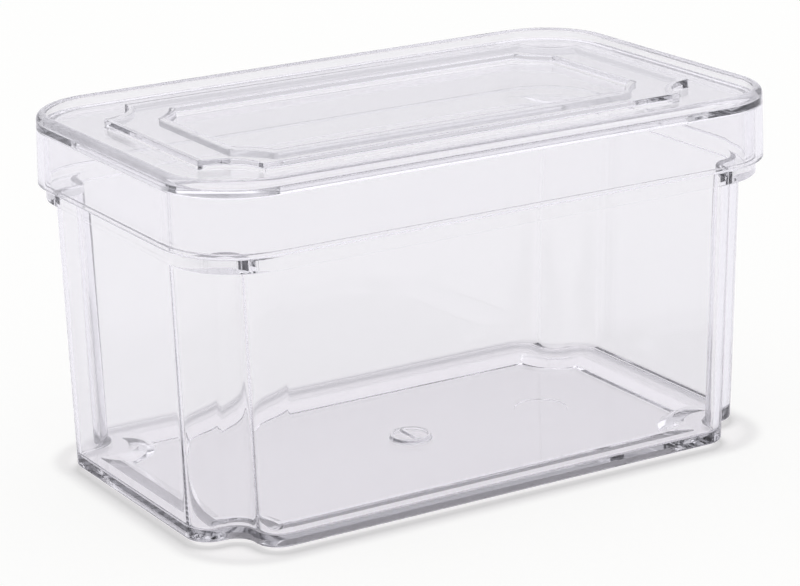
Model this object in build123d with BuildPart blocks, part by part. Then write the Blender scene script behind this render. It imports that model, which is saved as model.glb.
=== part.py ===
from build123d import *
import math
import os

# Clear moulded storage box with a lift-off lid, in millimetres.
# The origin is the middle of the foot's underside, +Z is up, X runs along the long side
# and the front long side faces -Y.

# Overall sizes, taken over the lid
lid_length = 200.0
lid_width = 123.6
total_height = 109.7
corner_radius = 24.4

# Lid: skirt, rim and recessed top plate
skirt_height = 21.5
skirt_wall = 1.9
skirt_draft = 1.5
skirt_edge_round = 0.3
skirt_root_round = 0.6
plate_thickness = 1.6
rim_width = 2.6
rim_depth = 3.2
rim_round = 2.2
rim_inner_round = 0.3
well_round = 0.8

# Raised ridge on the lid, set in from the lid's edges, scooped at the corners, hollow from below
ridge_end_border = 16.4
ridge_side_border = 18.4
ridge_scoop = 13.2
ridge_end_band = 15.4
ridge_side_band = 12.9
ridge_corner_band = 14.0
ridge_height = 2.6
ridge_wall = 1.8
ridge_corner_round = 0.8
ridge_edge_round = 0.4
groove_depth = 2.4
groove_round = 0.7

# Box: drafted walls and floor
box_wall = 2.3
border_thickness = 3.0
floor_thickness = 2.4
base_inset = 4.9
body_top_inset = 3.0
base_round = 1.0
cavity_round = 1.5

# Recess sunk into the floor, set in from the lid's edges, scooped at the corners, and its foot
foot_drop = 1.5
recess_end_border = 16.4
recess_side_border = 18.0
recess_scoop = 13.2
recess_slope = 4.6
recess_corner_round = 0.8
recess_lip_round = 1.0
recess_root_round = 0.5
foot_margin = 3.5
foot_edge_round = 0.3

# Re-entrant corner notches of the box, an S curve in plan
notch_side = 14.5
notch_outer_round = 7.8
notch_inner_round = 5.8

# Collar under the lid's skirt, the rim inside the lid, and the shelf that closes each notch
collar_inset = 2.25
collar_height = 4.8
collar_overlap = 1.0
collar_round = 0.3
box_rim_inset = 2.65
box_rim_round = 0.5
shelf_thickness = 3.3

# Gate button and ejector mark on the sunk floor
gate_diameter = 12.7
gate_height = 1.2
gate_ring = 1.1
gate_bar = 1.4
gate_dish = 0.6
gate_edge_round = 0.25
ejector_diameter = 16.5
ejector_offset = 48.0
ejector_depth = 0.15

# Heights that follow from the sizes above
skirt_bottom = total_height - skirt_height
margin_top = total_height - rim_depth
plate_underside = margin_top - plate_thickness
collar_bottom = skirt_bottom - collar_height
collar_top = skirt_bottom + collar_overlap
shelf_top = collar_bottom + shelf_thickness
floor_top = foot_drop + border_thickness
sunk_floor_top = floor_thickness

# Plan sizes that follow
skirt_slope = math.tan(math.radians(skirt_draft))
rim_outer_inset = skirt_height * skirt_slope
well_inset = rim_outer_inset + rim_width + rim_depth * skirt_slope
body_slope = (base_inset - body_top_inset) / (collar_bottom - foot_drop)
body_draft = math.degrees(math.atan(body_slope))
cavity_inset = base_inset - border_thickness * body_slope + box_wall
cavity_top_inset = cavity_inset - (shelf_top - floor_top) * body_slope
ridge_length = lid_length - 2 * ridge_end_border
ridge_width = lid_width - 2 * ridge_side_border
recess_length = lid_length - 2 * recess_end_border
recess_width = lid_width - 2 * recess_side_border
inner_ridge_length = ridge_length - 2 * ridge_end_band
inner_ridge_width = ridge_width - 2 * ridge_side_band
inner_ridge_scoop = ridge_scoop + ridge_corner_band


def rounded_plan(height, inset):
    """The lid's rounded rectangle, moved in by inset, at the given height."""
    with BuildSketch(Plane.XY.offset(height)) as plan:
        RectangleRounded(lid_length - 2 * inset, lid_width - 2 * inset, corner_radius - inset)
    return plan.sketch


def notched_plan(height, inset, outer_round, inner_round):
    """A rectangle moved in by inset whose corners are stepped in, every corner rounded."""
    half_length = lid_length / 2 - inset
    half_width = lid_width / 2 - inset
    half_step = notch_side / 2
    with BuildSketch(Plane.XY.offset(height)) as plan:
        Rectangle(2 * half_length, 2 * half_width)
        with GridLocations(2 * half_length, 2 * half_width, 2, 2):
            Rectangle(2 * notch_side, 2 * notch_side, mode=Mode.SUBTRACT)
        step_corners = plan.vertices().filter_by(
            lambda v: half_length - abs(v.X) > half_step and half_width - abs(v.Y) > half_step
        )
        fillet(step_corners, radius=inner_round)
        tips = plan.vertices().filter_by(
            lambda v: half_length - abs(v.X) < half_step / 2 or half_width - abs(v.Y) < half_step / 2
        )
        fillet(tips, radius=outer_round)
    return plan.sketch


def scooped_plan(height, length, width, centre_length, centre_width, scoop, corner_round):
    """A rectangle whose corners are scooped out by circles of the given radius.

    The circles' centres are the corners of a second rectangle, centre_length by centre_width.
    """
    with BuildSketch(Plane.XY.offset(height)) as plan:
        Rectangle(length, width)
        with GridLocations(centre_length, centre_width, 2, 2):
            Circle(scoop, mode=Mode.SUBTRACT)
        fillet(plan.vertices(), radius=corner_round)
    return plan.sketch


def recess_plan(height, inset):
    """The recess's outline, moved in by inset, at the given height."""
    return scooped_plan(
        height,
        recess_length - 2 * inset,
        recess_width - 2 * inset,
        recess_length,
        recess_width,
        recess_scoop + inset,
        recess_corner_round,
    )


def ridge_plan(height, inset):
    """The ridge's outer outline, moved in by inset, at the given height."""
    return scooped_plan(
        height,
        ridge_length - 2 * inset,
        ridge_width - 2 * inset,
        ridge_length,
        ridge_width,
        ridge_scoop + inset,
        ridge_corner_round,
    )


def inner_ridge_plan(height, outset):
    """The ridge's inner outline, moved out by outset, at the given height."""
    return scooped_plan(
        height,
        inner_ridge_length + 2 * outset,
        inner_ridge_width + 2 * outset,
        ridge_length,
        ridge_width,
        inner_ridge_scoop - outset,
        ridge_corner_round,
    )


with BuildPart() as cavity:
    # Space inside the walls, notched like the outside up to the shelf
    add(notched_plan(floor_top, cavity_inset, notch_outer_round - box_wall, notch_inner_round + box_wall))
    extrude(amount=shelf_top - floor_top, taper=-body_draft)
    fillet(cavity.faces().sort_by(Axis.Z)[0].edges(), radius=cavity_round)

    # Plain rounded space above the shelf
    add(rounded_plan(shelf_top, cavity_top_inset))
    extrude(amount=plate_underside - shelf_top)

    # Sunk part of the floor with its sloping side, its upper and lower edges eased
    add(recess_plan(floor_top, 0))
    add(recess_plan(sunk_floor_top, recess_slope))
    loft(ruled=True)
    fillet(cavity.faces().filter_by(Axis.Z).sort_by(Axis.Z)[0].edges(), radius=recess_root_round)
    floor_face = cavity.faces().filter_by(Axis.Z).sort_by(Axis.Z)[1]
    fillet(floor_face.inner_wires()[0].edges(), radius=recess_lip_round)

with BuildPart() as gate:
    # Dished button with a bar across it, left where the plastic was fed in
    with BuildSketch(Plane.XY.offset(sunk_floor_top)):
        Circle(gate_diameter / 2)
    extrude(amount=gate_height)
    fillet(gate.faces().sort_by(Axis.Z)[-1].edges(), radius=gate_edge_round)
    with BuildSketch(Plane.XY.offset(sunk_floor_top + gate_height)):
        Circle(gate_diameter / 2 - gate_ring)
        Rectangle(gate_bar, gate_diameter, mode=Mode.SUBTRACT)
    extrude(amount=-gate_dish, mode=Mode.SUBTRACT)

with BuildPart() as storage_box:
    # Body with drafted walls and notched corners, rounded where it turns under
    add(notched_plan(foot_drop, base_inset, notch_outer_round, notch_inner_round))
    extrude(amount=collar_bottom - foot_drop, taper=-body_draft)
    fillet(storage_box.faces().sort_by(Axis.Z)[0].edges(), radius=base_round)

    # Collar band below the skirt
    add(rounded_plan(collar_bottom, collar_inset))
    extrude(amount=collar_top - collar_bottom)
    ledge_face, collar_face = storage_box.faces().filter_by(Axis.Z).sort_by(Axis.Z)[1:3]
    fillet(ledge_face.outer_wire().edges() + collar_face.edges(), radius=collar_round)

    # Rim that the lid's plate rests on
    add(rounded_plan(collar_top, box_rim_inset))
    extrude(amount=plate_underside - collar_top)
    fillet(storage_box.faces().sort_by(Axis.Z)[-1].edges(), radius=box_rim_round)

    # Foot below the sunk floor, which slopes as the recess does
    add(recess_plan(foot_drop, -foot_margin))
    add(recess_plan(0, recess_slope - foot_margin))
    loft(ruled=True)
    fillet(storage_box.faces().sort_by(Axis.Z)[0].edges(), radius=foot_edge_round)

    # Hollow it out, then put the marks on the sunk floor
    add(cavity.part, mode=Mode.SUBTRACT)
    fillet(storage_box.faces().sort_by(Axis.Z)[-1].inner_wires()[0].edges(), radius=box_rim_round)
    add(gate.part)
    with BuildSketch(Plane.XY.offset(sunk_floor_top)):
        with Locations((ejector_offset, 0)):
            Circle(ejector_diameter / 2)
    extrude(amount=-ejector_depth, mode=Mode.SUBTRACT)

with BuildPart() as lid:
    # Skirt and rim as one drafted block
    add(rounded_plan(skirt_bottom, 0))
    extrude(amount=skirt_height, taper=skirt_draft)
    fillet(lid.faces().sort_by(Axis.Z)[-1].edges(), radius=rim_round)

    # Hollow below the plate, its edges eased
    add(rounded_plan(skirt_bottom, skirt_wall))
    extrude(amount=plate_underside - skirt_bottom, taper=skirt_draft, mode=Mode.SUBTRACT)
    skirt_face, plate_face = lid.faces().filter_by(Axis.Z).sort_by(Axis.Z)[0:2]
    fillet(plate_face.edges(), radius=skirt_root_round)
    skirt_face = lid.faces().sort_by(Axis.Z)[0]
    fillet(skirt_face.edges(), radius=skirt_edge_round)

    # Recessed top inside the rim
    add(rounded_plan(margin_top, well_inset))
    extrude(amount=rim_depth, taper=-skirt_draft, mode=Mode.SUBTRACT)
    margin_face, rim_face = lid.faces().filter_by(Axis.Z).sort_by(Axis.Z)[-2:]
    fillet(margin_face.edges(), radius=well_round)
    rim_face = lid.faces().filter_by(Axis.Z).sort_by(Axis.Z)[-1]
    fillet(rim_face.inner_wires()[0].edges(), radius=rim_inner_round)

    # Raised ridge, open in the middle
    add(ridge_plan(margin_top, 0))
    extrude(amount=ridge_height)
    add(inner_ridge_plan(margin_top, 0))
    extrude(amount=ridge_height, mode=Mode.SUBTRACT)
    ridge_face = lid.faces().filter_by(Axis.Z).sort_by(Axis.Z)[-2]
    fillet(ridge_face.edges(), radius=ridge_edge_round)

    # Groove below that keeps the ridge's wall even
    with BuildSketch(Plane.XY.offset(plate_underside)):
        add(ridge_plan(plate_underside, ridge_wall))
        add(inner_ridge_plan(plate_underside, ridge_wall), mode=Mode.SUBTRACT)
    extrude(amount=groove_depth, mode=Mode.SUBTRACT)
    plate_faces = lid.faces().filter_by(Axis.Z).filter_by(
        lambda f: abs(f.center().Z - plate_underside) < ridge_edge_round
    )
    middle_face, border_face = plate_faces.sort_by(SortBy.AREA)
    fillet(middle_face.outer_wire().edges() + border_face.inner_wires()[0].edges(), radius=groove_round)

storage_box.part.label = "storage_box"
lid.part.label = "lid"
os.makedirs("parts", exist_ok=True)
export_step(storage_box.part, "parts/storage_box.step")
export_step(lid.part, "parts/lid.step")
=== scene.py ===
import math
import bpy
import numpy as np
from mathutils import Matrix, Vector
from mathutils.geometry import delaunay_2d_cdt


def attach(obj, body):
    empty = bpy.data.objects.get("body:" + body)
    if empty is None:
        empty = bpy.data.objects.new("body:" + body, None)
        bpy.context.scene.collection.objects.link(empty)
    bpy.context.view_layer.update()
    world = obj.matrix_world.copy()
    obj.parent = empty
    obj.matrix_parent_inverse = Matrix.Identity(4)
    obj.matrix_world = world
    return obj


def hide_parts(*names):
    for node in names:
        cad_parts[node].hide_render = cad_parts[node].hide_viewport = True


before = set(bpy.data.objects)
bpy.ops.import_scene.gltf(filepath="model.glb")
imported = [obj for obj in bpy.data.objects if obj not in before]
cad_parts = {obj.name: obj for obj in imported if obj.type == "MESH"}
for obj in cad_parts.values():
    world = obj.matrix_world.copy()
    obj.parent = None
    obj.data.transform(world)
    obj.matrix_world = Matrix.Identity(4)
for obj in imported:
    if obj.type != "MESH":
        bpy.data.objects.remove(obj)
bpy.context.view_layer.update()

# Clear moulded storage box with a lift-off lid. Sizes below are in millimetres, and the meshes
# are written in metres in the CAD frame: X along the long side, the front long side at -Y, Z up.
mm = 0.001


def knotChain(*arcs):
    # A quarter outline is a chain of knots (centre x, centre y, radius, angle of the normal).
    # Two knots with one centre make an arc, two with one angle a straight side.
    chain = [(arcs[0][0], 0, arcs[0][2], 0)]
    for x, y, radius, startAngle, endAngle in arcs:
        chain += [(x, y, radius, startAngle), (x, y, radius, endAngle)]
    chain.append((0, arcs[-1][1], arcs[-1][2], 90))
    return np.array(chain, float)


def readChain(chain, places):
    x, y, radius, angle = (np.interp(places, np.arange(len(chain)), column) for column in chain.T)
    return x, y, radius, np.radians(angle)


def pointsOn(chain, places, inset):
    # point = centre + (radius - inset) * normal; a negative radius bends the outline inwards
    x, y, radius, angle = readChain(chain, places)
    return x + (radius - inset) * np.cos(angle), y + (radius - inset) * np.sin(angle)


def roundedKnots(halfX, halfY, radius):
    return knotChain((halfX - radius, halfY - radius, radius, 0, 90))


def notchedKnots(halfX, halfY, step, tipRadius, stepRadius):
    # Each corner is stepped in: a rounded tip, a small inner bend and a second rounded tip
    return knotChain(
        (halfX - tipRadius, halfY - step - tipRadius, tipRadius, 0, 90),
        (halfX - step + stepRadius, halfY - step + stepRadius, -stepRadius, 90, 0),
        (halfX - step - tipRadius, halfY - tipRadius, tipRadius, 0, 90),
    )


def scoopedKnots(halfX, halfY, centreX, centreY, scoop, tip):
    # The corners are scooped out by circles of radius scoop round (centreX, centreY). A tip's
    # circle touches its straight side and the scoop: its centre lies scoop + tip from the scoop's.
    reachX, reachY = centreX - halfX + tip, centreY - halfY + tip
    downY = math.sqrt((scoop + tip) ** 2 - reachX ** 2)
    backX = math.sqrt((scoop + tip) ** 2 - reachY ** 2)
    endTurn = math.degrees(math.atan2(downY, reachX))
    sideTurn = math.degrees(math.atan2(reachY, backX))
    return knotChain(
        (halfX - tip, centreY - downY, tip, 0, endTurn),
        (centreX, centreY, -scoop, endTurn, sideTurn),
        (centreX - backX, halfY - tip, tip, sideTurn, 90),
    )


def sharedAngles(outlines, evenStep):
    # Every outline of a piece is cut by the same rays from its middle, so that the flat rings
    # between two outlines don't fold. The rays are dense where an outline bends.
    leastStep, turnDigits, rayDigits = 0.1, 4, 2
    angles = [np.arange(0, 90 + evenStep / 2, evenStep)]
    for outline in outlines.values():
        chain, inset, cuts = outline["knots"], outline["ray inset"], outline["cuts"]
        places = np.linspace(0, len(chain) - 1, (len(chain) - 1) * cuts + 1)
        turning = np.diff(chain[:, 3])[np.minimum(places.astype(int), len(chain) - 2)] != 0
        x, y = pointsOn(chain, places, inset)
        angles.append(np.degrees(np.arctan2(y, x))[turning | (places % 1 == 0)])
    quarter = np.unique(np.round(np.concatenate(angles), rayDigits))
    quarter = quarter[np.concatenate(([True], np.diff(quarter) > leastStep))]
    quarter[-1] = 90
    turns = np.concatenate((quarter, 180 - quarter, 180 + quarter, 360 - quarter)) % 360
    return np.radians(np.unique(np.round(turns, turnDigits)))


def rayOutline(outline, angles):
    # Finds where each ray meets the outline and gives the point at no inset and the normal
    # there: the point at any inset is point - inset * normal.
    fineCuts, nearlyZero = 3000, 1e-9
    chain = outline["knots"]
    places = np.linspace(0, len(chain) - 1, (len(chain) - 1) * fineCuts + 1)
    x, y = pointsOn(chain, places, outline["ray inset"])
    folded = np.arctan2(np.abs(np.sin(angles)), np.abs(np.cos(angles)))
    x, y, radius, angle = readChain(chain, np.interp(folded, np.arctan2(y, x), places))
    signs = np.stack([np.where(f(angles) < -nearlyZero, -1, 1) for f in (np.cos, np.sin)], 1)
    normal = np.stack((np.cos(angle), np.sin(angle)), 1)
    point = np.stack((x, y), 1) + radius[:, None] * normal
    return point * signs, normal * signs


def profileRows(corners, outlines):
    # The profile is a chain of corners (outline, inset, height, round, cuts to the next corner)
    # in the X-Z plane, with the material on its right. Each corner becomes an arc that touches
    # both sides, and the normal turns along it from one side's to the other's.
    turnPerRow, rowsPerMillimetre, leastRows, leastTurn = 0.2, 1.5, 3, 1e-6
    across = [outlines[name]["half"] - inset for name, inset, *_ in corners]
    spot = [np.array((h, corner[2])) for h, corner in zip(across, corners)]
    rows = []
    for i, (name, inset, height, rounding, cuts) in enumerate(corners):
        before = spot[i] - spot[i - 1] if i else spot[1] - spot[0]
        after = spot[i + 1] - spot[i] if i < len(corners) - 1 else before
        before, after = before / np.hypot(*before), after / np.hypot(*after)
        turn = math.atan2(before[0] * after[1] - before[1] * after[0], before @ after)
        side = 1 if turn > 0 else -1
        radius = np.asarray(rounding, float)
        bends = abs(turn) > leastTurn and radius.max() > 0
        count = round(abs(turn) / turnPerRow) + round(float(radius.max()) * rowsPerMillimetre)
        reach = radius * math.tan(abs(turn) / 2)
        normal = np.array((-before[1], before[0]))
        for share in np.linspace(0, 1, max(leastRows, count) if bends else 1):
            bend = turn * share if bends else 0
            leaned = np.array((
                normal[0] * math.cos(bend) - normal[1] * math.sin(bend),
                normal[0] * math.sin(bend) + normal[1] * math.cos(bend),
            ))
            offset = [
                -before[j] * reach + side * radius * (normal[j] - leaned[j]) if bends else 0.0
                for j in (0, 1)
            ]
            rows.append((name, inset - offset[0], height + offset[1], leaned))
        level = np.array((-after[1], after[0]))
        for share in np.linspace(0, 1, cuts + 1)[1:-1]:
            ahead = after * share * np.hypot(*(spot[i + 1] - spot[i]))
            rows.append((name, inset - ahead[0], height + ahead[1], level))
    return rows


def ringGrid(corners, outlines, angles):
    # Every row of the profile runs once round its outline: point - inset * normal, at the row's
    # height, with the outline's normal leaned as the profile's is.
    rays = {key: rayOutline(outline, angles) for key, outline in outlines.items()}
    points, normals = [], []
    for key, inset, height, lean in profileRows(corners, outlines):
        point, normal = rays[key]
        flat = point - np.broadcast_to(inset, len(angles))[:, None] * normal
        points.append(np.column_stack((flat, np.broadcast_to(height, len(angles)))))
        normals.append(np.column_stack((normal * lean[0], np.full(len(angles), lean[1]))))
    return np.array(points), np.array(normals)


def roundGrid(corners, radius, centre, columns):
    # A small round detail: the profile turned about a vertical axis through centre
    turn = np.linspace(0, 2 * math.pi, columns, endpoint=False)
    around = np.stack((np.cos(turn), np.sin(turn)), 1)
    points, normals = [], []
    for _, inset, height, lean in profileRows(corners, {"round": {"half": radius}}):
        ring = around * (radius - inset) + centre
        points.append(np.column_stack((ring, np.full(columns, height))))
        normals.append(np.column_stack((around * lean[0], np.full(columns, lean[1]))))
    return np.array(points), np.array(normals)


def patchBetween(outer, holes, points):
    # Triangles that fill the flat face between the outer loop and the holes, upper side out
    insideOnly, sameSpot = 1, 1e-6
    loops = [outer] + holes
    every = np.concatenate(loops)
    starts = np.cumsum([0] + [len(loop) for loop in loops])
    edges = []
    for loop, start in zip(loops, starts):
        edges += [(start + i, start + (i + 1) % len(loop)) for i in range(len(loop))]
    flat = [Vector(place) for place in points[every, :2].tolist()]
    _, _, triangles, sources, _, _ = delaunay_2d_cdt(flat, edges, [], insideOnly, sameSpot)
    first = np.array([source[0] for source in sources])
    corners = first[np.array([list(triangle) for triangle in triangles])]
    owner = np.searchsorted(starts, corners, side="right") - 1
    filled = (owner == owner[:, :1]).all(1) & (owner[:, 0] > 0)
    corners = every[corners[~filled]]
    a, b, c = (points[corners[:, i], :2] for i in range(3))
    clockwise = (b - a)[:, 0] * (c - a)[:, 1] < (b - a)[:, 1] * (c - a)[:, 0]
    corners[clockwise] = corners[clockwise][:, ::-1]
    return corners.tolist()


def shellMesh(name, grids, upperPole=True):
    # The first grid is the shell, which closes at its last row on a point in the middle. Its first
    # row closes on a point too, or on a flat face that carries the other grids, which are details
    # whose first rows close on a point of their own.
    vertices, normals, faces, loops, start = [], [], [], [], 0
    for number, (points, leans) in enumerate(grids):
        rows, columns = points.shape[:2]
        grid = start + np.arange(rows * columns).reshape(rows, columns)
        nextColumn = np.roll(grid, -1, 1)
        quads = np.stack((grid[:-1], grid[1:], nextColumn[1:], nextColumn[:-1]), -1)
        faces += quads.reshape(-1, 4).tolist()
        vertices.append(points.reshape(-1, 3))
        normals.append(leans.reshape(-1, 3))
        start += rows * columns
        if number or upperPole:
            vertices.append([(*points[0, :, :2].mean(0), points[0, 0, 2])])
            normals.append([(0, 0, 1)])
            faces += [(start, a, b) for a, b in zip(grid[0].tolist(), nextColumn[0].tolist())]
            start += 1
        if number == 0:
            vertices.append([(0, 0, points[-1, 0, 2])])
            normals.append([(0, 0, -1)])
            faces += [(start, b, a) for a, b in zip(grid[-1].tolist(), nextColumn[-1].tolist())]
            start += 1
        loops.append(grid[-1] if number else grid[0])
    vertices, normals = np.vstack(vertices), np.vstack(normals)
    if not upperPole:
        faces += patchBetween(loops[0], loops[1:], vertices)
    mesh = bpy.data.meshes.new(name)
    mesh.from_pydata(vertices * mm, [], faces)
    mesh.polygons.foreach_set("use_smooth", np.ones(len(mesh.polygons), bool))
    mesh.normals_split_custom_set_from_vertices(
        normals / np.linalg.norm(normals, axis=1)[:, None]
    )
    mesh.update()
    piece = bpy.data.objects.new(name, mesh)
    bpy.context.scene.collection.objects.link(piece)
    rows, columns = grids[0][0].shape[:2]
    print(name, len(mesh.vertices), "vertices", rows, "rows", columns, "columns")
    return piece


boxLook = {
    "half length": 100.0, "half width": 61.8, "corner radius": 24.4,
    "notch step": 14.5, "tip radius": 12.7, "step radius": 0.9,
    "recess half length": 83.6, "recess half width": 43.8,
    "recess scoop": 13.2, "recess tip": 0.8, "recess slope": 4.6, "recess round": 0.5,
    "foot margin": 3.5, "foot drop": 1.5, "foot round": 0.3, "slope parts": 4, "flat lap": 0.5,
    "base inset": 4.9, "top inset": 3.0, "inner inset": 7.13, "inner top inset": 5.22,
    "collar inset": 2.25, "rim inset": 2.65, "mouth inset": 5.2,
    "floor top": 4.5, "sunk top": 2.4, "collar bottom": 83.4, "collar top": 89.2,
    "shelf top": 86.7, "rim top": 104.85,
    "base round": 1.0, "inner round": 1.5, "lip round": 1.0, "rim round": 0.5,
    "shelf round": 1.0, "shelf root round": 0.4, "shelf share": 0.42,
    "collar round": 0.3, "collar root round": 0.08, "collar crease round": 0.25,
    "ray step": 3.0, "notch cuts": 10, "rim cuts": 22, "recess cuts": 4,
    "wall parts": 4, "perimeter parts": 2,
    "gate radius": 6.35, "gate ring": 1.1, "gate top": 3.6, "gate dish": 3.0, "gate lean": 0.1,
    "gate hub": 0.15, "gate apron": 1.0, "gate columns": 96, "gate parts": 22,
    "gate dish round": 0.15, "gate inner round": 0.2, "gate outer round": 0.25,
    "gate root round": 0.35, "bar half": 0.55, "bar ease": 0.35,
    "ejector radius": 8.25, "ejector place": 48.0, "ejector depth": 0.15, "ejector lean": 0.1,
    "ejector lap": 1.0, "ejector apron": 0.6, "ejector round": 0.08, "ejector columns": 90,
}


def makeBox(size):
    halfX, halfY = size["half length"], size["half width"]
    notched = notchedKnots(
        halfX, halfY, size["notch step"], size["tip radius"], size["step radius"]
    )
    outlines = {
        "notched": {
            "knots": notched, "half": halfX,
            "ray inset": size["base inset"], "cuts": size["notch cuts"],
        },
        "rounded": {
            "knots": roundedKnots(halfX, halfY, size["corner radius"]), "half": halfX,
            "ray inset": size["rim inset"], "cuts": size["rim cuts"],
        },
    }

    def scooped(name, inset):
        # The recess's outline moved in by inset: its scoops grow as it shrinks
        endX, endY = size["recess half length"], size["recess half width"]
        knots = scoopedKnots(
            endX - inset, endY - inset, endX, endY, size["recess scoop"] + inset, size["recess tip"]
        )
        outlines[name] = {
            "knots": knots, "half": endX - inset, "ray inset": 0, "cuts": size["recess cuts"],
        }
        return name

    # The recess slopes down and in, and the foot below it slopes down and in from further out
    shares = np.linspace(0, 1, size["slope parts"] + 1)
    recess = [
        scooped(f"recess {i}", size["recess slope"] * (1 - share)) for i, share in enumerate(shares)
    ]
    foot = [
        scooped(f"foot {i}", size["recess slope"] * share - size["foot margin"])
        for i, share in enumerate(shares)
    ]
    sunk, floorTop, shelfTop = size["sunk top"], size["floor top"], size["shelf top"]
    recessHeights = sunk + (floorTop - sunk) * shares
    footHeights = size["foot drop"] * (1 - shares)
    angles = sharedAngles(outlines, size["ray step"])

    # The shelf's width is measured across the upper outline: it is next to nothing along the
    # walls. The rounding of its edges is at most a share of that width.
    lower = rayOutline(outlines["notched"], angles)
    upper = rayOutline(outlines["rounded"], angles)
    inner, mouth = size["inner top inset"], size["mouth inset"]
    step = lower[0] - inner * lower[1] - upper[0] + mouth * upper[1]
    room = size["shelf share"] * np.abs((step * upper[1]).sum(1))
    shelfEdge = np.minimum(size["shelf round"], room)
    shelfRoot = np.minimum(size["shelf root round"], room)

    rim, collar, walls = size["rim inset"], size["collar inset"], size["wall parts"]
    collarRound, footRound = size["collar round"], size["foot round"]
    corners = [
        (recess[0], size["flat lap"], sunk, 0, 1),
        (recess[0], 0, sunk, size["recess round"], 1),
    ]
    corners += [
        (name, 0, height, 0, 1) for name, height in zip(recess[1:-1], recessHeights[1:-1])
    ]
    corners += [
        (recess[-1], 0, floorTop, size["lip round"], size["perimeter parts"]),
        ("notched", size["inner inset"], floorTop, size["inner round"], walls),
        ("notched", inner, shelfTop, shelfEdge, 1),
        ("rounded", mouth, shelfTop, shelfRoot, 1),
        ("rounded", mouth, size["rim top"], size["rim round"], 1),
        ("rounded", rim, size["rim top"], size["rim round"], 1),
        ("rounded", rim, size["collar top"], size["collar root round"], 1),
        ("rounded", collar, size["collar top"], collarRound, 1),
        ("rounded", collar, size["collar bottom"], collarRound, 1),
        ("notched", size["top inset"], size["collar bottom"], size["collar crease round"], walls),
        ("notched", size["base inset"], size["foot drop"], size["base round"],
         size["perimeter parts"]),
        (foot[0], 0, size["foot drop"], footRound, 1),
    ]
    corners += [(name, 0, height, 0, 1) for name, height in zip(foot[1:-1], footHeights[1:-1])]
    corners += [(foot[-1], 0, 0, footRound, 1), (foot[-1], size["flat lap"], 0, 0, 1)]

    # The feed button: a dish with a raised ring round it, on the sunk floor
    radius, ring, lean = size["gate radius"], size["gate ring"], size["gate lean"]
    gateCorners = [
        ("round", radius - size["gate hub"], size["gate dish"], 0, size["gate parts"]),
        ("round", ring, size["gate dish"], size["gate dish round"], 1),
        ("round", ring - lean, size["gate top"], size["gate inner round"], 1),
        ("round", 0, size["gate top"], size["gate outer round"], 1),
        ("round", -lean, sunk, size["gate root round"], 1),
        ("round", -size["gate apron"], sunk, 0, 1),
    ]
    gate = roundGrid(gateCorners, radius, (0, 0), size["gate columns"])
    carveBar(size, *gate)

    # The ejector's mark: a shallow round dent in the sunk floor
    dent = sunk - size["ejector depth"]
    ejectorCorners = [
        ("round", size["ejector lap"], dent, 0, 1),
        ("round", size["ejector lean"], dent, size["ejector round"], 1),
        ("round", 0, sunk, size["ejector round"], 1),
        ("round", -size["ejector apron"], sunk, 0, 1),
    ]
    ejector = roundGrid(
        ejectorCorners, size["ejector radius"], (size["ejector place"], 0), size["ejector columns"]
    )
    shell = ringGrid(corners, outlines, angles)
    return shellMesh("clearBox", [shell, gate, ejector], upperPole=False)


def carveBar(size, points, normals):
    # A bar across the dished button: height = dish + (top - dish) * smooth(rise), where rise goes
    # from 0 to 1 over the ease at the bar's edge and smooth(r) = r * r * (3 - 2 * r)
    def bar(x):
        rise = (size["bar half"] + size["bar ease"] - np.abs(x)) / size["bar ease"]
        rise = np.clip(rise, 0, 1)
        return (size["gate top"] - size["gate dish"]) * rise * rise * (3 - 2 * rise)

    step = 0.01
    dishRadius = size["gate radius"] - size["gate ring"]
    inDish = np.hypot(points[..., 0], points[..., 1]) < dishRadius + 2 * step
    inDish &= np.abs(points[..., 2] - size["gate dish"]) < step
    x = points[..., 0][inDish]
    slope = (bar(x + step) - bar(x - step)) / (2 * step)
    points[inDish, 2] += bar(x)
    normals[inDish] = np.column_stack((-slope, np.zeros_like(x), np.ones_like(x)))


lidLook = {
    "half length": 100.0, "half width": 61.8, "corner radius": 24.4,
    "skirt bottom": 88.2, "lid top": 109.7, "top lean": 0.563,
    "skirt wall": 1.9, "root lean": 0.437, "plate root round": 0.6,
    "plate underside": 104.9, "margin top": 106.5, "ridge top": 109.1, "groove top": 107.3,
    "rim width": 2.6, "well lean": 0.084, "rim round": 2.2, "well round": 0.8, "edge round": 0.3,
    "ridge half length": 83.6, "ridge half width": 43.4, "ridge scoop": 13.2,
    "end band": 15.4, "side band": 12.9, "corner band": 14.0,
    "ridge tip": 0.8, "ridge wall": 1.8, "ridge edge round": 0.4, "root round": 0.3,
    "groove round": 0.7, "middle lap": 0.6, "groove lap": 0.78,
    "ray step": 3.0, "rim cuts": 30, "ridge cuts": 7, "side parts": 3,
}


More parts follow.
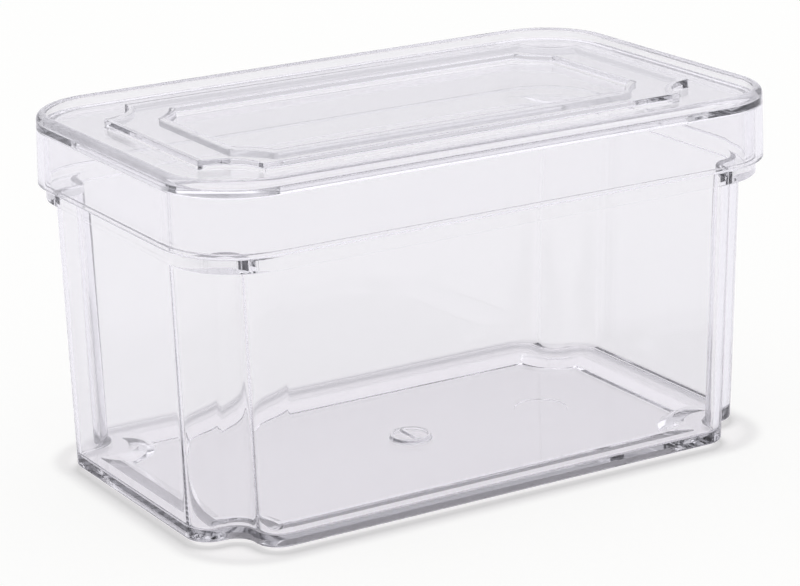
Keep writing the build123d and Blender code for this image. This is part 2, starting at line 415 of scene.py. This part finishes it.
def makeLid(size):
    halfX, halfY = size["half length"], size["half width"]
    outlines = {
        "rounded": {
            "knots": roundedKnots(halfX, halfY, size["corner radius"]), "half": halfX,
            "ray inset": 0, "cuts": size["rim cuts"],
        },
    }
    outerX, outerY = size["ridge half length"], size["ridge half width"]
    innerX, innerY = outerX - size["end band"], outerY - size["side band"]
    wall, scoop, band = size["ridge wall"], size["ridge scoop"], size["corner band"]
    for name, endX, endY, radius in (
        ("ridge", outerX, outerY, scoop),
        ("ridge wall", outerX - wall, outerY - wall, scoop + wall),
        ("middle", innerX, innerY, scoop + band),
        ("middle wall", innerX + wall, innerY + wall, scoop + band - wall),
    ):
        knots = scoopedKnots(endX, endY, outerX, outerY, radius, size["ridge tip"])
        outlines[name] = {
            "knots": knots, "half": endX, "ray inset": 0, "cuts": size["ridge cuts"],
        }
    angles = sharedAngles(outlines, size["ray step"])
    wallTop = size["top lean"] + size["rim width"]
    skirt, parts, groove = size["skirt wall"], size["side parts"], size["groove round"]
    edge, ridgeEdge, root = size["edge round"], size["ridge edge round"], size["root round"]
    under, margin = size["plate underside"], size["margin top"]
    corners = [
        ("middle", size["middle lap"], margin, 0, 1),
        ("middle", 0, margin, root, 1),
        ("middle", 0, size["ridge top"], ridgeEdge, 1),
        ("ridge", 0, size["ridge top"], ridgeEdge, 1),
        ("ridge", 0, margin, root, 1),
        ("rounded", wallTop + size["well lean"], margin, size["well round"], 1),
        ("rounded", wallTop, size["lid top"], edge, 1),
        ("rounded", size["top lean"], size["lid top"], size["rim round"], parts),
        ("rounded", 0, size["skirt bottom"], edge, 1),
        ("rounded", skirt, size["skirt bottom"], edge, parts),
        ("rounded", skirt + size["root lean"], under, size["plate root round"], 1),
        ("ridge wall", 0, under, groove, 1),
        ("ridge wall", 0, size["groove top"], root, 1),
        ("middle wall", 0, size["groove top"], root, 1),
        ("middle wall", 0, under, groove, 1),
        ("middle wall", size["groove lap"], under, 0, 1),
    ]
    return shellMesh("clearLid", [ringGrid(corners, outlines, angles)])


class nodeKit:
    # Short ways to make and join nodes in one tree
    def __init__(self, tree):
        self.nodes, self.links = tree.nodes, tree.links

    def feed(self, node, inputs):
        # Each input is a socket to link from or a value to set
        for name, value in dict(inputs).items():
            if isinstance(value, bpy.types.NodeSocket):
                self.links.new(value, node.inputs[name])
            else:
                node.inputs[name].default_value = value

    def make(self, kind, inputs=(), **settings):
        node = self.nodes.new(kind)
        for name, value in settings.items():
            setattr(node, name, value)
        self.feed(node, inputs)
        return node

    def math(self, operation, a, b):
        return self.make("ShaderNodeMath", {0: a, 1: b}, operation=operation).outputs[0]

    def ramp(self, value, low, high, fromLow=0.0, toHigh=1.0):
        # Eases from fromLow at low to toHigh at high
        inputs = {
            "Value": value, "From Min": low, "From Max": high, "To Min": fromLow, "To Max": toHigh,
        }
        ramp = self.make("ShaderNodeMapRange", inputs, interpolation_type="SMOOTHSTEP")
        return ramp.outputs["Result"]


plasticLook = {
    "tint": (0.998, 0.996, 1.0, 1), "deep tint": (0.994, 0.991, 0.998, 1), "ior": 1.5,
    "wave size": 22.0, "wave detail": 1.0, "wave height": 0.02,
    "streak size": 140.0, "streak detail": 2.0, "streak stretch": (1, 1, 0.12),
    "streak share": 0.08, "scratch stretch": (1, 0.08, 0.08), "scratch finer": 6.0,
    "scratch limit": 0.76, "scratch amount": 0.03, "roughness": 0.015,
    "depth colour": (0.6, 0.6, 0.62, 1), "depth density": 13.0,
    "shadow tint": (0.985, 0.98, 0.985, 1), "edge shadow": (0.76, 0.755, 0.77, 1),
    "edge blend": 0.3,
}


def mouldedGroup(look):
    # What moulding leaves on clear plastic. Height = slow waves + a share of fine streaks that
    # run along Z, roughness = its base + hair scratches where a long thin noise passes a limit,
    # and the colour goes from Tint to Deep Tint with the waves.
    group = bpy.data.node_groups.new("mouldedSurface", "ShaderNodeTree")
    for name, kind, value in (
        ("Tint", "NodeSocketColor", look["tint"]),
        ("Deep Tint", "NodeSocketColor", look["deep tint"]),
        ("Wave Size", "NodeSocketFloat", look["wave size"]),
        ("Streak Size", "NodeSocketFloat", look["streak size"]),
        ("Scratch Amount", "NodeSocketFloat", look["scratch amount"]),
        ("Base Roughness", "NodeSocketFloat", look["roughness"]),
    ):
        socket = group.interface.new_socket(name=name, in_out="INPUT", socket_type=kind)
        socket.default_value = value
    for name, kind in (("Color", "Color"), ("Roughness", "Float"), ("Height", "Float")):
        group.interface.new_socket(name=name, in_out="OUTPUT", socket_type="NodeSocket" + kind)
    kit = nodeKit(group)
    given = kit.make("NodeGroupInput").outputs
    place = kit.make("ShaderNodeTexCoord").outputs["Object"]

    def noise(scale, detail, stretch=(1, 1, 1)):
        spot = kit.make("ShaderNodeMapping", {"Vector": place, "Scale": stretch}).outputs["Vector"]
        inputs = {"Vector": spot, "Scale": scale, "Detail": detail}
        return kit.make("ShaderNodeTexNoise", inputs).outputs["Fac"]

    waves = noise(given["Wave Size"], look["wave detail"])
    streaks = noise(given["Streak Size"], look["streak detail"], look["streak stretch"])
    finer = kit.math("MULTIPLY", given["Streak Size"], look["scratch finer"])
    scratches = noise(finer, 0.0, look["scratch stretch"])
    marked = kit.math("GREATER_THAN", scratches, look["scratch limit"])
    hair = kit.math("MULTIPLY", marked, given["Scratch Amount"])
    mix = kit.make("ShaderNodeMix", data_type="RGBA")
    kit.feed(mix, {"Factor": waves, "A": given["Tint"], "B": given["Deep Tint"]})
    kit.make("NodeGroupOutput", {
        "Height": kit.math("ADD", waves, kit.math("MULTIPLY", streaks, look["streak share"])),
        "Roughness": kit.math("ADD", given["Base Roughness"], hair),
        "Color": mix.outputs["Result"],
    })
    return group


def clearPlastic(name, group, look):
    material = bpy.data.materials.new(name)
    material.use_nodes = True
    kit = nodeKit(material.node_tree)
    surface = kit.make("ShaderNodeGroup", node_tree=group)
    kit.feed(surface, {
        "Tint": look["tint"], "Deep Tint": look["deep tint"], "Wave Size": look["wave size"],
        "Streak Size": look["streak size"], "Scratch Amount": look["scratch amount"],
        "Base Roughness": look["roughness"],
    })
    bump = kit.make("ShaderNodeBump", {
        "Height": surface.outputs["Height"], "Distance": look["wave height"] * mm, "Strength": 1.0,
    })
    plastic = kit.nodes["Principled BSDF"]
    kit.feed(plastic, {
        "Base Color": surface.outputs["Color"], "Roughness": surface.outputs["Roughness"],
        "Normal": bump.outputs["Normal"], "Transmission Weight": 1.0, "Metallic": 0.0,
        "IOR": look["ior"],
    })
    # Lamps and the room reach what is behind the plastic: less where they meet it edge on
    path = kit.make("ShaderNodeLightPath").outputs
    facing = kit.make("ShaderNodeLayerWeight", {"Blend": look["edge blend"]}).outputs["Facing"]
    shade = kit.make("ShaderNodeMix", data_type="RGBA")
    kit.feed(shade, {"Factor": facing, "A": look["shadow tint"], "B": look["edge shadow"]})
    clear = kit.make("ShaderNodeBsdfTransparent", {"Color": shade.outputs["Result"]})
    lampRay = kit.math("MAXIMUM", path["Is Shadow Ray"], path["Is Diffuse Ray"])
    mix = kit.make("ShaderNodeMixShader", {0: lampRay, 1: plastic.outputs[0], 2: clear.outputs[0]})
    # Light that runs along inside the plastic comes out dimmer
    depth = kit.make("ShaderNodeVolumeAbsorption", {
        "Color": look["depth colour"], "Density": look["depth density"],
    })
    ends = {"Surface": mix.outputs[0], "Volume": depth.outputs[0]}
    kit.feed(kit.nodes["Material Output"], ends)
    return material


print("pieces")
clearBox = makeBox(boxLook)
clearLid = makeLid(lidLook)
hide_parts("storage_box")
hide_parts("lid")
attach(clearBox, "box")
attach(clearLid, "cover")

print("materials")
moulded = mouldedGroup(plasticLook)
clearBox.data.materials.append(clearPlastic("clearBoxPlastic", moulded, plasticLook))
clearLid.data.materials.append(clearPlastic("clearLidPlastic", moulded, plasticLook))


# Studio sizes are in metres
studio = {
    "floor size": 8.0, "floor drop": 0.0001, "floor colour": (0.975, 0.968, 0.99, 1),
    "camera lift": (0.09, 0.097, 0.07, 1),
    "room level": 0.4, "sun level": 1.9, "sun spread": 3.0,
    "through colour": (0.88, 0.87, 0.93, 1), "mirror colour": (0.9, 0.89, 0.94, 1),
    "mirror low": 0.8, "mirror high": 1.5, "low below": 0.3, "high above": 0.6,
    # The paper's colour seen in reflections is painted darker, and darker still as a painted shade
    # under and around the box
    "mirrored painted dimming": 0.52, "painted shade level": 0.16,
    "painted shade near": (0.07, 0.038), "painted shade far": (0.1, 0.064),
    "camera place": (-0.44112, -0.73498, 0.31327), "camera target": (-0.00207, 0.0, 0.0489),
    "camera roll": -1.29, "lens": 133.09, "sensor": 36.0, "clip start": 0.01, "clip end": 50.0,
    "bounces": 96, "clear layers": 32,
}


def makeFloor(look):
    half = look["floor size"] / 2
    mesh = bpy.data.meshes.new("floor")
    corners = [(-half, -half, 0), (half, -half, 0), (half, half, 0), (-half, half, 0)]
    mesh.from_pydata(corners, [], [(0, 1, 2, 3)])
    floor = bpy.data.objects.new("floor", mesh)
    floor.location.z = -look["floor drop"]
    bpy.context.scene.collection.objects.link(floor)
    paper = bpy.data.materials.new("floorPaperPaintedShade")
    paper.use_nodes = True
    kit = nodeKit(paper.node_tree)
    # In reflections the paper is lit by the brighter mirrored room, so its colour there is painted
    # darker to make up for it, and painted darker still under the box: a painted shade standing in
    # for the box's shadow on the paper that light led along in the box's floor comes from:
    # paper = painted shade + (painted dimming - painted shade) * the larger of the two ramps over
    # |x| and |y|
    path, place = kit.make("ShaderNodeLightPath"), kit.make("ShaderNodeTexCoord")
    inputs = {0: place.outputs["Object"]}
    away = kit.make("ShaderNodeVectorMath", inputs, operation="ABSOLUTE").outputs["Vector"]
    away = kit.make("ShaderNodeSeparateXYZ", {0: away})
    # The ramps mask the painted shade: 0 under the box, 1 beyond it
    paintedShadeRamps = [
        kit.ramp(away.outputs[axis], near, far)
        for axis, near, far in zip("XY", look["painted shade near"], look["painted shade far"])
    ]
    span = look["mirrored painted dimming"] - look["painted shade level"]
    level = kit.math("MULTIPLY", kit.math("MAXIMUM", *paintedShadeRamps), span)
    level = kit.math("ADD", level, look["painted shade level"])
    # Only rays after a reflection see the paper with the painted dimming and painted shade
    mirrored = kit.math("MINIMUM", path.outputs["Glossy Depth"], 1.0)
    mix = kit.make("ShaderNodeMix", data_type="RGBA", blend_type="MULTIPLY")
    kit.feed(mix, {"Factor": mirrored, "A": look["floor colour"], "B": level})
    # The camera sees the paper as white
    kit.feed(kit.nodes["Principled BSDF"], {
        "Base Color": mix.outputs["Result"], "Roughness": 1.0, "Specular IOR Level": 0.0,
        "Emission Color": look["camera lift"], "Emission Strength": path.outputs["Is Camera Ray"],
    })
    mesh.materials.append(paper)


def makeLight(look):
    # The lamp shines straight down. It shades the floor and leaves no glints.
    sunData = bpy.data.lights.new("softTopLight", "SUN")
    sunData.energy = look["sun level"]
    sunData.angle = math.radians(look["sun spread"])
    sun = bpy.data.objects.new("softTopLight", sunData)
    sun.visible_glossy = sun.visible_transmission = False
    bpy.context.scene.collection.objects.link(sun)


def makeRoom(look):
    # Reflections and light led along inside the plastic see a room that is brighter overhead. The
    # camera, and what it sees straight through the box, meets an even backdrop.
    world = bpy.data.worlds.new("room")
    bpy.context.scene.world = world
    world.use_nodes = True
    world.node_tree.nodes.clear()
    kit = nodeKit(world.node_tree)
    path, place = kit.make("ShaderNodeLightPath"), kit.make("ShaderNodeTexCoord")
    height = kit.make("ShaderNodeSeparateXYZ", {0: place.outputs["Generated"]}).outputs["Z"]
    level = kit.ramp(
        height, look["low below"], look["high above"], look["mirror low"], look["mirror high"]
    )
    mirror = kit.make("ShaderNodeBackground", {"Strength": level, "Color": look["mirror colour"]})
    even = kit.make("ShaderNodeBackground", {"Strength": look["room level"]})
    camera = kit.make("ShaderNodeBackground", {"Strength": 1.0, "Color": (1, 1, 1, 1)})
    through = kit.make("ShaderNodeBackground", {"Strength": 1.0, "Color": look["through colour"]})
    shader = even.outputs[0]
    for share, other in (
        (path.outputs["Is Transmission Ray"], through),
        (kit.math("MINIMUM", path.outputs["Glossy Depth"], 1.0), mirror),
        (path.outputs["Is Camera Ray"], camera),
    ):
        inputs = {0: share, 1: shader, 2: other.outputs[0]}
        shader = kit.make("ShaderNodeMixShader", inputs).outputs[0]
    kit.make("ShaderNodeOutputWorld", {"Surface": shader})


def makeCamera(look):
    # The camera looks from its place to its target and is turned by the roll about that line
    place, target = np.array(look["camera place"]), np.array(look["camera target"])
    back = (place - target) / np.linalg.norm(place - target)
    right = np.cross((0, 0, 1), back)
    right /= np.linalg.norm(right)
    up = np.cross(back, right)
    roll = math.radians(look["camera roll"])
    turned = np.eye(4)
    turned[:3, 0] = math.cos(roll) * right + math.sin(roll) * up
    turned[:3, 1] = math.cos(roll) * up - math.sin(roll) * right
    turned[:3, 2] = back
    turned[:3, 3] = place
    camera = bpy.data.objects.new("camera", bpy.data.cameras.new("camera"))
    camera.data.lens = look["lens"]
    camera.data.sensor_width = look["sensor"]
    camera.data.clip_start, camera.data.clip_end = look["clip start"], look["clip end"]
    camera.matrix_world = Matrix(turned.tolist())
    bpy.context.scene.collection.objects.link(camera)
    bpy.context.scene.camera = camera


print("studio")
makeFloor(studio)
makeLight(studio)
makeRoom(studio)
makeCamera(studio)
scene = bpy.context.scene
scene.view_settings.view_transform = "Standard"
scene.cycles.max_bounces = studio["bounces"]
scene.cycles.transmission_bounces = studio["bounces"]
scene.cycles.glossy_bounces = studio["bounces"]
scene.cycles.transparent_max_bounces = studio["clear layers"]
scene.cycles.caustics_refractive = False
scene.cycles.caustics_reflective = False
